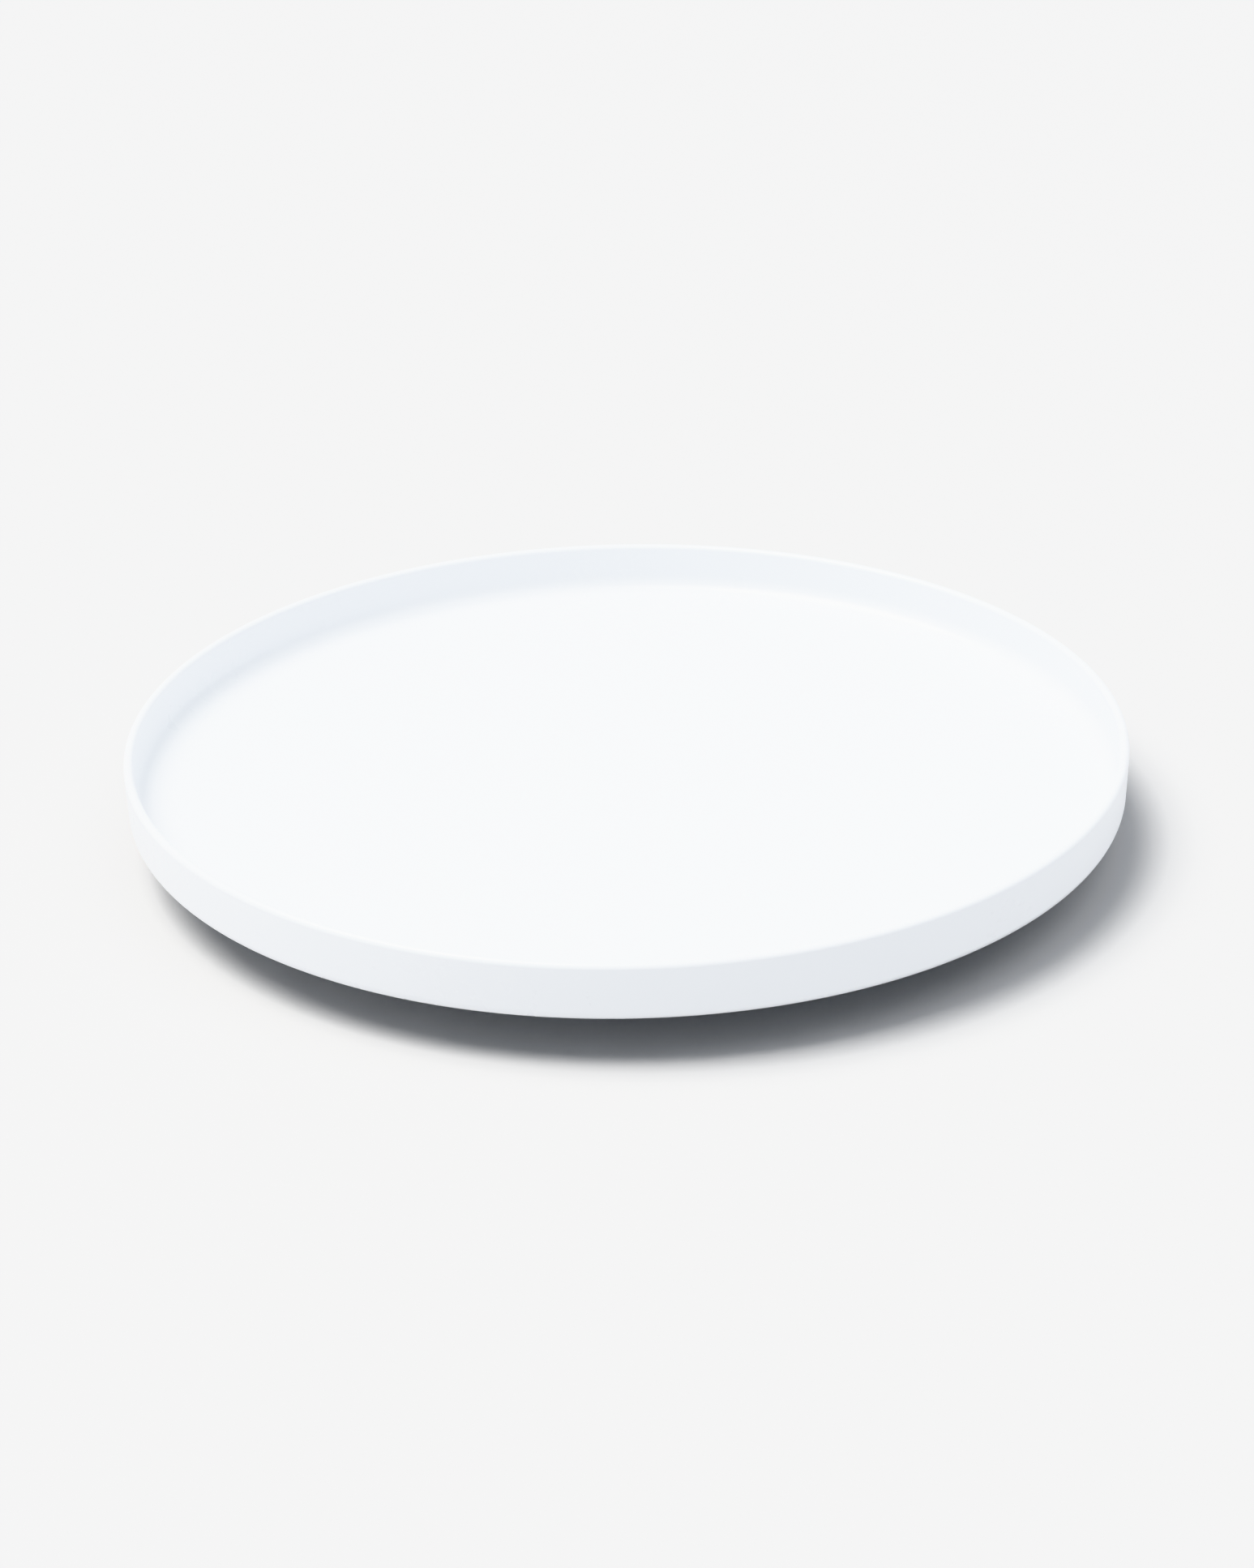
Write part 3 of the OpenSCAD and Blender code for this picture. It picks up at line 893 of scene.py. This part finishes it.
class MakeTray(bpy.types.Operator):
    """Make the white tray with the ribs under its floor"""

    bl_idname = "turntable.tray"
    bl_label = "Tray"
    bl_options = {"REGISTER", "UNDO"}

    def execute(self, context):
        settings = context.scene.turntable
        s, seat = settings.tray, settings.track.seat
        under = UPPER_RACE.top
        keeper_in = UPPER_RACE.inner - seat - s.keeper
        keeper_out = UPPER_RACE.outer + seat + s.keeper
        lip = TRAY.outer - s.heel - s.lip
        bury = (FLOOR_Z - under) / 2
        sizes = {
            "Segments": s.segments, "Inner Ribs": s.inner_ribs, "Outer Ribs": s.outer_ribs,
            "Inner Start": s.boss / 4, "Inner End": keeper_in + s.keeper / 2, "Inner Bottom": HEEL_Z,
            "Outer Start": keeper_out - s.keeper / 2, "Outer End": lip,
            "Outer Bottom": HEEL_Z + (under - HEEL_Z) / 4,
            "Rib Top": under + bury, "Rib Thickness": s.rib, "Rib Fillet": RIB_EDGE,
            "Marks": s.inner_ribs, "Mark Ring": (s.boss / 2 + keeper_in) / 2, "Mark Radius": s.mark / 2,
            "Mark Bottom": under - CUT_PAST, "Mark Top": under + s.mark_depth,
        }
        tray = shaped("tray_moulding", tray_tree(), sizes, finish("tray"), tray_section(s, seat))
        fitted(tray, "tray", "white_gloss", "tray")
        return {"FINISHED"}


class MakeRaces(bpy.types.Operator):
    """Make the two grooved steel rings that the balls run between"""

    bl_idname = "turntable.races"
    bl_label = "Race rings"
    bl_options = {"REGISTER", "UNDO"}

    def execute(self, context):
        settings = context.scene.turntable
        track = settings.track
        races = (("upper_race", UPPER_RACE, -1, "tray"), ("lower_race", LOWER_RACE, 1, "base"))
        for name, race, side, body in races:
            section = race_section(race, side, track)
            ring = shaped(name + "_ring", turned_only(), {"Segments": track.segments}, finish("race"),
                          section, closed=True)
            fitted(ring, body, "race_steel", name)
        return {"FINISHED"}


class MakeBalls(bpy.types.Operator):
    """Make the steel balls, each on its own body so that it rolls"""

    bl_idname = "turntable.balls"
    bl_label = "Balls"
    bl_options = {"REGISTER", "UNDO"}

    def execute(self, context):
        settings = context.scene.turntable
        tree = ball_tree()
        for i, node in enumerate(BALLS):
            sizes = {"Radius": BALL_R, "Steps": settings.track.ball_steps, "Ring": TRACK_R,
                     "Height": BALL_Z, "Angle": math.tau * i / len(BALLS)}
            ball = shaped("steel_" + node, tree, sizes, finish("ball"))
            fitted(ball, node, "ball_steel", node)
        return {"FINISHED"}


class MakeCage(bpy.types.Operator):
    """Make the nylon ring that keeps the balls apart"""

    bl_idname = "turntable.cage"
    bl_label = "Ball cage"
    bl_options = {"REGISTER", "UNDO"}

    def execute(self, context):
        settings = context.scene.turntable
        track = settings.track
        half = track.cage / 2
        section = flat_ring(CAGE.inner, CAGE.outer, BALL_Z - half, BALL_Z + half, CAGE_EDGE)
        sizes = {
            "Segments": track.segments, "Count": len(BALLS), "Ring": TRACK_R, "Height": BALL_Z,
            "Hole": BALL_R + track.slack, "Drum": BALL_R + track.slack + track.pocket,
            "Bottom": CAGE.bottom, "Top": CAGE.top,
        }
        cage = shaped("cage_ring", cage_tree(), sizes, finish("nylon"), section, closed=True)
        fitted(cage, "cage", "natural_nylon", "ball_cage")
        return {"FINISHED"}


class MakeBase(bpy.types.Operator):
    """Make the ribbed base that stands still"""

    bl_idname = "turntable.base"
    bl_label = "Base"
    bl_options = {"REGISTER", "UNDO"}

    def execute(self, context):
        settings = context.scene.turntable
        s, track, centre = settings.base, settings.track, settings.centre
        plate_z = LOWER_RACE.bottom
        well_out = CAP.outer + track.seat + s.well
        sizes = {
            "Segments": s.segments, "Ribs": s.ribs, "Feet": len(FEET),
            "Rib Start": well_out - s.well / 2, "Rib End": BASE.outer - s.skirt / 2,
            "Rib Bottom": BASE.bottom + s.setback, "Rib Top": plate_z - s.plate / 2,
            "Rib Thickness": s.rib, "Rib Fillet": RIB_EDGE, "Foot Ring": FOOT_RING,
            "Socket Radius": FOOT_R + track.seat + s.socket, "Socket Bottom": BASE.bottom,
            "Pocket Radius": FOOT_R + track.seat, "Pocket Top": FOOT.top, "Below": BASE.bottom - CUT_PAST,
        }
        section = base_section(s, track, centre)
        base = shaped("base_moulding", base_tree(), sizes, finish("base"), section, closed=True)
        fitted(base, "base", "white_matte", "base_plate")
        return {"FINISHED"}


class MakeFeet(bpy.types.Operator):
    """Make the rubber feet"""

    bl_idname = "turntable.feet"
    bl_label = "Feet"
    bl_options = {"REGISTER", "UNDO"}

    def execute(self, context):
        settings = context.scene.turntable
        sizes = {"Segments": settings.centre.segments, "Count": len(FEET), "Ring": FOOT_RING}
        feet = shaped("rubber_feet", feet_tree(), sizes, finish("rubber"), foot_section(settings.base))
        fitted(feet, "base", "grey_rubber", *FEET)
        return {"FINISHED"}


class MakeBush(bpy.types.Operator):
    """Make the flanged bush and the thrust washer under it"""

    bl_idname = "turntable.bush"
    bl_label = "Bush and thrust washer"
    bl_options = {"REGISTER", "UNDO"}

    def execute(self, context):
        settings = context.scene.turntable
        steps = {"Segments": settings.centre.segments}
        section = bush_section(settings.centre)
        bush = shaped("flanged_bush", turned_only(), steps, finish("nylon"), section, closed=True)
        fitted(bush, "base", "natural_nylon", "centre_bush")
        section = flat_ring(*THRUST, WASHER_EDGE)
        washer = shaped("nylon_washer", turned_only(), steps, finish("nylon"), section, closed=True)
        fitted(washer, "base", "natural_nylon", "thrust_washer")
        return {"FINISHED"}


class MakeScrew(bpy.types.Operator):
    """Make the centre screw and the steel washer that it holds"""

    bl_idname = "turntable.screw"
    bl_label = "Screw and washer"
    bl_options = {"REGISTER", "UNDO"}

    def execute(self, context):
        settings = context.scene.turntable
        s = settings.centre
        depth = s.thread * s.screw / 2
        core = s.screw / 2 - depth
        sunk, tooth = 0.1 * depth, 0.88 * depth
        start = WASHER.top + s.pitch
        sizes = {
            "Segments": s.segments, "Pitch": s.pitch, "Thread Start": start,
            "Thread Length": SCREW.top - s.pitch - start, "Core": core + sunk, "Tooth": tooth,
            "Cross Width": s.cross, "Cross Length": s.cross_reach,
            "Cross Bottom": SCREW.bottom - CUT_PAST, "Cross Top": SCREW.bottom + s.cross_depth,
        }
        screw = shaped("cross_screw", screw_tree(), sizes, finish("zinc"), screw_section(s, core))
        fitted(screw, "tray", "zinc_steel", "centre_screw")
        section = flat_ring(*WASHER, WASHER_EDGE)
        washer = shaped("steel_washer", turned_only(), {"Segments": s.segments}, finish("zinc"),
                        section, closed=True)
        fitted(washer, "tray", "zinc_steel", "retaining_washer")
        return {"FINISHED"}


class MakeCap(bpy.types.Operator):
    """Make the cap that closes the well under the screw"""

    bl_idname = "turntable.cap"
    bl_label = "Cap"
    bl_options = {"REGISTER", "UNDO"}

    def execute(self, context):
        settings = context.scene.turntable
        steps = {"Segments": settings.centre.segments}
        cap = shaped("well_cap", turned_only(), steps, finish("base"), cap_section(settings.centre))
        fitted(cap, "base", "white_matte", "centre_cap")
        return {"FINISHED"}


class MakeStage(bpy.types.Operator):
    """Make the floor, the lights and the camera"""

    bl_idname = "turntable.stage"
    bl_label = "Stage"
    bl_options = {"REGISTER", "UNDO"}

    def execute(self, context):
        settings = context.scene.turntable
        s = settings.stage
        context.scene.view_settings.view_transform = "Khronos PBR Neutral"
        self.floor(s)
        self.sky(s)
        self.light("key", s.key, KEY_LAMP)
        self.light("fill", s.fill, FILL_LAMP)
        self.camera(s)
        return {"FINISHED"}

    def floor(self, s):
        mesh = bpy.data.meshes.new("floor")
        work = bmesh.new()
        bmesh.ops.create_circle(work, cap_ends=True, radius=FLOOR_RADIUS, segments=96)
        work.to_mesh(mesh)
        work.free()
        floor = bpy.data.objects.new("floor", mesh)
        bpy.context.scene.collection.objects.link(floor)
        paint = Finish("floor_paint")
        cloud = paint.noise(0.4, 3.0)
        tint = paint.tint(paint.between(cloud, 0.0, 1.0), s.floor, shade(s.floor, 1.01))
        paint.set(Base_Color=tint, Roughness=0.7)
        mesh.materials.append(paint.material)

    def sky(self, s):
        world = bpy.data.worlds.new("sky")
        world.use_nodes = True
        nodes = Nodes(world.node_tree)
        place = nodes.add("ShaderNodeTexCoord").outputs["Generated"]
        height = nodes.add("ShaderNodeSeparateXYZ", {0: place}).outputs["Z"]
        inputs = {"Value": height, "From Min": 0.0, "From Max": HAZE_TOP, "To Min": s.haze, "To Max": s.sky}
        strength = nodes.add("ShaderNodeMapRange", inputs, interpolation_type="SMOOTHSTEP").outputs[0]
        background = world.node_tree.nodes["Background"]
        background.inputs["Color"].default_value = (*SKY_TINT, 1)
        nodes.feed(background.inputs["Strength"], strength)
        bpy.context.scene.world = world

    def light(self, name, strength, lamp):
        """A distant light from the lamp's direction; its softness is its width in the sky."""
        light = bpy.data.lights.new(name, "SUN")
        light.energy = strength
        light.color = lamp.tint
        light.angle = lamp.softness
        holder = bpy.data.objects.new(name, light)
        holder.location = lamp.towards
        holder.rotation_mode = "QUATERNION"
        holder.rotation_quaternion = Vector(lamp.towards).to_track_quat("Z", "Y")
        bpy.context.scene.collection.objects.link(holder)

    def camera(self, s):
        lens = bpy.data.cameras.new("camera")
        lens.lens = s.lens
        lens.clip_end = VIEW_DEPTH
        camera = bpy.data.objects.new("camera", lens)
        away = Vector((0, -math.cos(s.elevation), math.sin(s.elevation)))
        camera.location = Vector((0, 0, HEEL_Z)) + away * s.distance
        camera.rotation_mode = "QUATERNION"
        aim = (-away).to_track_quat("-Z", "Y")
        camera.rotation_quaternion = aim @ Matrix.Rotation(-s.roll, 3, "Z").to_quaternion()
        bpy.context.scene.collection.objects.link(camera)
        bpy.context.scene.camera = camera


class TurntablePanel(bpy.types.Panel):
    """Sizes, colours and the makers of the turntable"""

    bl_idname = "VIEW3D_PT_turntable"
    bl_label = "Turntable"
    bl_space_type = "VIEW_3D"
    bl_region_type = "UI"
    bl_category = "Turntable"

    def draw(self, context):
        settings = context.scene.turntable
        for title, group in (("Tray", settings.tray), ("Track", settings.track), ("Base", settings.base),
                             ("Centre", settings.centre), ("Finishes", settings.finishes),
                             ("Stage", settings.stage)):
            box = self.layout.box()
            box.label(text=title)
            for name in group.bl_rna.properties.keys():
                if name not in ("rna_type", "name"):
                    box.prop(group, name)
        for maker in MAKERS:
            self.layout.operator(maker.bl_idname)


MAKERS = (MakeStage, MakeTray, MakeRaces, MakeBalls, MakeCage, MakeBase, MakeFeet, MakeBush, MakeScrew,
          MakeCap)
CLASSES = (TraySizes, TrackSizes, BaseSizes, CentreSizes, Finishes, StageSettings, TurntableSettings,
           *MAKERS, TurntablePanel)


def register():
    for cls in CLASSES:
        bpy.utils.register_class(cls)
    bpy.types.Scene.turntable = PointerProperty(type=TurntableSettings)


def unregister():
    del bpy.types.Scene.turntable
    for cls in reversed(CLASSES):
        bpy.utils.unregister_class(cls)


def main():
    register()
    bpy.ops.turntable.stage()
    bpy.ops.turntable.tray()
    bpy.ops.turntable.races()
    bpy.ops.turntable.balls()
    bpy.ops.turntable.cage()
    bpy.ops.turntable.base()
    bpy.ops.turntable.feet()
    bpy.ops.turntable.bush()
    bpy.ops.turntable.screw()
    bpy.ops.turntable.cap()


if __name__ == "__main__":
    main()
